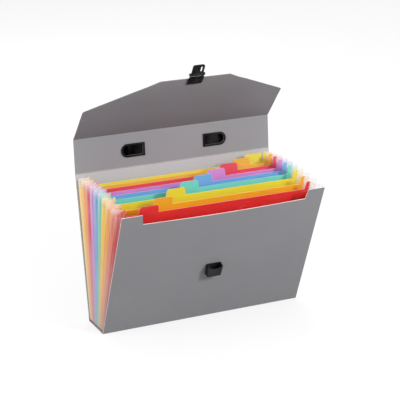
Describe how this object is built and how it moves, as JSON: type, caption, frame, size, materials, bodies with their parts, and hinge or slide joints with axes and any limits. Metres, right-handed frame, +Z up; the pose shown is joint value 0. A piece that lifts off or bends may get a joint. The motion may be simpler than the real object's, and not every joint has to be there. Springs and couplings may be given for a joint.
{
  "type": "accordion file folder",
  "caption": "Expanding file case of grey plastic sheet with a fan of coloured tabbed dividers, pleated sides, a fold-over flap with clasp and a lift-out carrying handle.",
  "frame": {"origin": "middle of the base, on the surface it stands on", "axes": "+X to the right seen from the front, -Y towards the front, +Z up"},
  "size_m": [0.33, 0.1917, 0.3949],
  "materials": {
    "shell": "fine linen grain",
    "black_plastic": "satin moulded",
    "clear_film": "frosted film",
    "steel_pin": "drawn",
    "red_sheet": "satin film",
    "red_film": "frosted film",
    "orange_sheet": "satin film",
    "orange_film": "frosted film",
    "yellow_sheet": "satin film",
    "yellow_film": "frosted film",
    "teal_sheet": "satin film",
    "teal_film": "frosted film",
    "blue_sheet": "satin film",
    "blue_film": "frosted film",
    "violet_sheet": "satin film",
    "violet_film": "frosted film",
    "crimson_sheet": "satin film",
    "crimson_film": "frosted film",
    "amber_sheet": "satin film",
    "amber_film": "frosted film",
    "gold_sheet": "satin film",
    "gold_film": "frosted film"
  },
  "bodies": {
    "base": {"bottom_panel": "shell", "bellows_floor": "clear_film"},
    "front": {"front_panel": "shell", "catch_box": "black_plastic", "catch_backing_plate": "black_plastic", "catch_rivets": "black_plastic"},
    "back": {"back_panel": "shell", "left_gusset_10": "gold_film", "right_gusset_10": "gold_film"},
    "lid": {"handle_panel": "shell", "handle_rim_left": "black_plastic", "handle_rim_right": "black_plastic", "handle_housing_left": "black_plastic", "handle_housing_right": "black_plastic"},
    "flap": {"closing_flap": "shell", "clasp_inner_plate": "black_plastic", "clasp_outer_plate": "black_plastic", "clasp_rivets": "black_plastic", "clasp_pin": "steel_pin"},
    "tongue": {"clasp_tongue": "black_plastic"},
    "divider_1": {"divider_1": "red_sheet", "left_gusset_1": "red_film", "right_gusset_1": "red_film"},
    "divider_2": {"divider_2": "orange_sheet", "left_gusset_2": "red_film", "right_gusset_2": "red_film"},
    "divider_3": {"divider_3": "yellow_sheet", "left_gusset_3": "orange_film", "right_gusset_3": "orange_film"},
    "divider_4": {"divider_4": "teal_sheet", "left_gusset_4": "yellow_film", "right_gusset_4": "yellow_film"},
    "divider_5": {"divider_5": "blue_sheet", "left_gusset_5": "teal_film", "right_gusset_5": "teal_film"},
    "divider_6": {"divider_6": "violet_sheet", "left_gusset_6": "blue_film", "right_gusset_6": "blue_film"},
    "divider_7": {"divider_7": "crimson_sheet", "left_gusset_7": "violet_film", "right_gusset_7": "violet_film"},
    "divider_8": {"divider_8": "amber_sheet", "left_gusset_8": "crimson_film", "right_gusset_8": "crimson_film"},
    "divider_9": {"divider_9": "gold_sheet", "left_gusset_9": "amber_film", "right_gusset_9": "amber_film"},
    "handle_foot_left": {"handle_foot_left": "black_plastic"},
    "handle_link_left": {"handle_link_left": "black_plastic"},
    "handle_grip": {"handle_grip": "black_plastic"},
    "handle_link_right": {"handle_link_right": "black_plastic"},
    "handle_foot_right": {"handle_foot_right": "black_plastic"}
  },
  "joints": [
    {"name": "back_fold", "type": "hinge", "parent": "base", "child": "back", "pos_m": [0, 0.0275, 0.0005], "axis": [1, 0, 0], "range_deg": [0, 11.05]},
    {"name": "lid_fold", "type": "hinge", "parent": "back", "child": "lid", "pos_m": [0, 0.07081, 0.22333], "axis": [1, 0, 0], "range_deg": [0, 83.9], "deforming": ["left_gusset_1", "left_gusset_2", "left_gusset_3", "left_gusset_4", "left_gusset_5", "left_gusset_6", "left_gusset_7", "left_gusset_8", "left_gusset_9", "left_gusset_10", "right_gusset_1", "right_gusset_2", "right_gusset_3", "right_gusset_4", "right_gusset_5", "right_gusset_6", "right_gusset_7", "right_gusset_8", "right_gusset_9", "right_gusset_10"]},
    {"name": "front_fold", "type": "hinge", "parent": "base", "child": "front", "pos_m": [0, -0.0275, 0.0005], "axis": [-1, 0, 0], "range_deg": [0, 22.55]},
    {"name": "divider_1_fold", "type": "hinge", "parent": "base", "child": "divider_1", "pos_m": [0, -0.022, 0.0026], "axis": [1, 0, 0], "range_deg": [-19.2, 0]},
    {"name": "divider_2_fold", "type": "hinge", "parent": "base", "child": "divider_2", "pos_m": [0, -0.0165, 0.0026], "axis": [1, 0, 0], "range_deg": [-15.85, 0]},
    {"name": "divider_3_fold", "type": "hinge", "parent": "base", "child": "divider_3", "pos_m": [0, -0.011, 0.0026], "axis": [1, 0, 0], "range_deg": [-12.5, 0]},
    {"name": "divider_4_fold", "type": "hinge", "parent": "base", "child": "divider_4", "pos_m": [0, -0.0055, 0.0026], "axis": [1, 0, 0], "range_deg": [-9.15, 0]},
    {"name": "divider_5_fold", "type": "hinge", "parent": "base", "child": "divider_5", "pos_m": [0, 0, 0.0026], "axis": [1, 0, 0], "range_deg": [-5.8, 0]},
    {"name": "divider_6_fold", "type": "hinge", "parent": "base", "child": "divider_6", "pos_m": [0, 0.0055, 0.0026], "axis": [1, 0, 0], "range_deg": [-2.45, 0]},
    {"name": "divider_7_fold", "type": "hinge", "parent": "base", "child": "divider_7", "pos_m": [0, 0.011, 0.0026], "axis": [1, 0, 0], "range_deg": [0, 1]},
    {"name": "divider_8_fold", "type": "hinge", "parent": "base", "child": "divider_8", "pos_m": [0, 0.0165, 0.0026], "axis": [1, 0, 0], "range_deg": [0, 4.35]},
    {"name": "divider_9_fold", "type": "hinge", "parent": "base", "child": "divider_9", "pos_m": [0, 0.022, 0.0026], "axis": [1, 0, 0], "range_deg": [0, 7.7]},
    {"name": "flap_fold", "type": "hinge", "parent": "lid", "child": "flap", "pos_m": [0, 0.07534, 0.27614], "axis": [1, 0, 0], "range_deg": [-90, 36]},
    {"name": "clasp_turn", "type": "hinge", "parent": "flap", "child": "tongue", "pos_m": [0, -0.01023, 0.37848], "axis": [1, 0, 0], "range_deg": [-90, 12]},
    {"name": "handle_foot_slide", "type": "slide", "parent": "lid", "child": "handle_foot_left", "axis": [1, 0, 0], "range_m": [0, 0.00853]},
    {"name": "handle_foot_left_turn", "type": "hinge", "parent": "handle_foot_left", "child": "handle_link_left", "pos_m": [-0.0459, 0.07508, 0.24856], "axis": [0, 0.0854, 0.9963], "range_deg": [0, 55.1]},
    {"name": "handle_grip_left_turn", "type": "hinge", "parent": "handle_link_left", "child": "handle_grip", "pos_m": [-0.0259, 0.07508, 0.24856], "axis": [0, 0.0854, 0.9963], "range_deg": [-55.1, 0]},
    {"name": "handle_grip_right_turn", "type": "hinge", "parent": "handle_grip", "child": "handle_link_right", "pos_m": [0.0259, 0.07508, 0.24856], "axis": [0, 0.0854, 0.9963], "range_deg": [-55.1, 0]},
    {"name": "handle_foot_right_turn", "type": "hinge", "parent": "handle_link_right", "child": "handle_foot_right", "pos_m": [0.0459, 0.07508, 0.24856], "axis": [0, 0.0854, 0.9963], "range_deg": [0, 55.1]}
  ],
  "couplings": [
    {"joint": "back_fold", "follows": "lid_fold", "ratio": 0.13111},
    {"joint": "front_fold", "follows": "lid_fold", "ratio": 0.26818},
    {"joint": "divider_1_fold", "follows": "lid_fold", "ratio": -0.22825},
    {"joint": "divider_2_fold", "follows": "lid_fold", "ratio": -0.18832},
    {"joint": "divider_3_fold", "follows": "lid_fold", "ratio": -0.14839},
    {"joint": "divider_4_fold", "follows": "lid_fold", "ratio": -0.10846},
    {"joint": "divider_5_fold", "follows": "lid_fold", "ratio": -0.068534},
    {"joint": "divider_6_fold", "follows": "lid_fold", "ratio": -0.028605},
    {"joint": "divider_7_fold", "follows": "lid_fold", "ratio": 0.011323},
    {"joint": "divider_8_fold", "follows": "lid_fold", "ratio": 0.051251},
    {"joint": "divider_9_fold", "follows": "lid_fold", "ratio": 0.09118},
    {"joint": "handle_foot_left_turn", "follows": "handle_foot_slide", "rad_per_m": 112.56},
    {"joint": "handle_grip_left_turn", "follows": "handle_foot_slide", "rad_per_m": -112.56},
    {"joint": "handle_grip_right_turn", "follows": "handle_foot_slide", "rad_per_m": -112.56},
    {"joint": "handle_foot_right_turn", "follows": "handle_foot_slide", "rad_per_m": 112.56}
  ]
}
